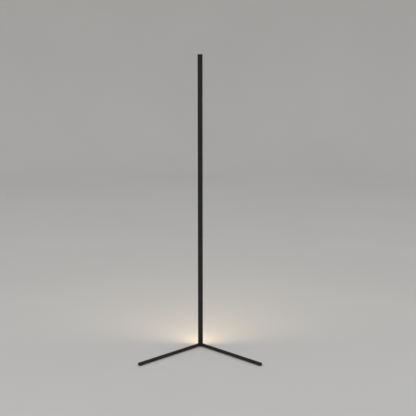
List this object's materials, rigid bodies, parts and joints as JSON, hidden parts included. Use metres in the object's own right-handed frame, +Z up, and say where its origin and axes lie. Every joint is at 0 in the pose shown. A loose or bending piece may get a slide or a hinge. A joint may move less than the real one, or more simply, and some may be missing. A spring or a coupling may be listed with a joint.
{
  "type": "corner floor lamp",
  "caption": "Slim upright square pole with a light line down its back, on a right-angled base of round legs that lie along the floor.",
  "frame": {"origin": "on the floor, on the pole's axis, at the middle of the rubber pad under the hub", "axes": "+Z up along the pole; +Y the way the light line faces, into the room's corner; the legs run forward at 45 degrees on each side of -Y"},
  "size_m": [0.568, 0.2958, 1.4],
  "materials": {
    "black_steel": "matte black powder coat on steel",
    "black_aluminium": "matte black coat on extruded aluminium",
    "bare_aluminium": "as extruded",
    "screw_steel": "zinc plated",
    "pad_rubber": "matte",
    "opal_diffuser": "opal, lit from inside in warm white",
    "white_tape": "white solder mask",
    "light_chip": "yellow phosphor, lit",
    "black_component": "moulded",
    "lead_red": "insulated lead",
    "lead_black": "insulated lead",
    "black_plastic": "fine moulded texture",
    "board_green": "green solder mask",
    "grey_foam": "closed-cell foam",
    "nickel": "nickel plated",
    "button_plastic": "satin"
  },
  "bodies": {
    "lamp": {"hub_block": "black_steel", "hub_pad": "pad_rubber", "leg_rod_left": "black_steel", "leg_rod_right": "black_steel", "leg_studs": "screw_steel", "foot_pad_left": "pad_rubber", "foot_pad_right": "pad_rubber", "pole_lower": "black_aluminium", "pole_middle": "black_aluminium", "pole_upper": "black_aluminium", "joiner_lower": "bare_aluminium", "joiner_upper": "bare_aluminium", "top_cap": "black_aluminium", "grub_screws": "screw_steel", "diffuser": "opal_diffuser", "light_tape": "white_tape", "light_chips": "light_chip", "tape_resistors": "black_component", "tape_leads": "lead_red", "rear_cover": "black_plastic", "cover_screws": "screw_steel", "control_board": "board_green", "board_foam": "grey_foam", "board_chips": "black_component", "board_resistors": "black_component", "power_socket": "black_plastic", "socket_pin": "nickel", "power_leads": "lead_black", "switch_body": "black_component"},
    "button": {"button_cap": "button_plastic", "switch_plunger": "black_component"}
  },
  "joints": [
    {"name": "button_press", "type": "slide", "parent": "lamp", "child": "button", "axis": [0, -1, 0], "range_m": [0, 0.0008], "stiffness_N_per_m": 600, "springref_m": -0.001}
  ]
}
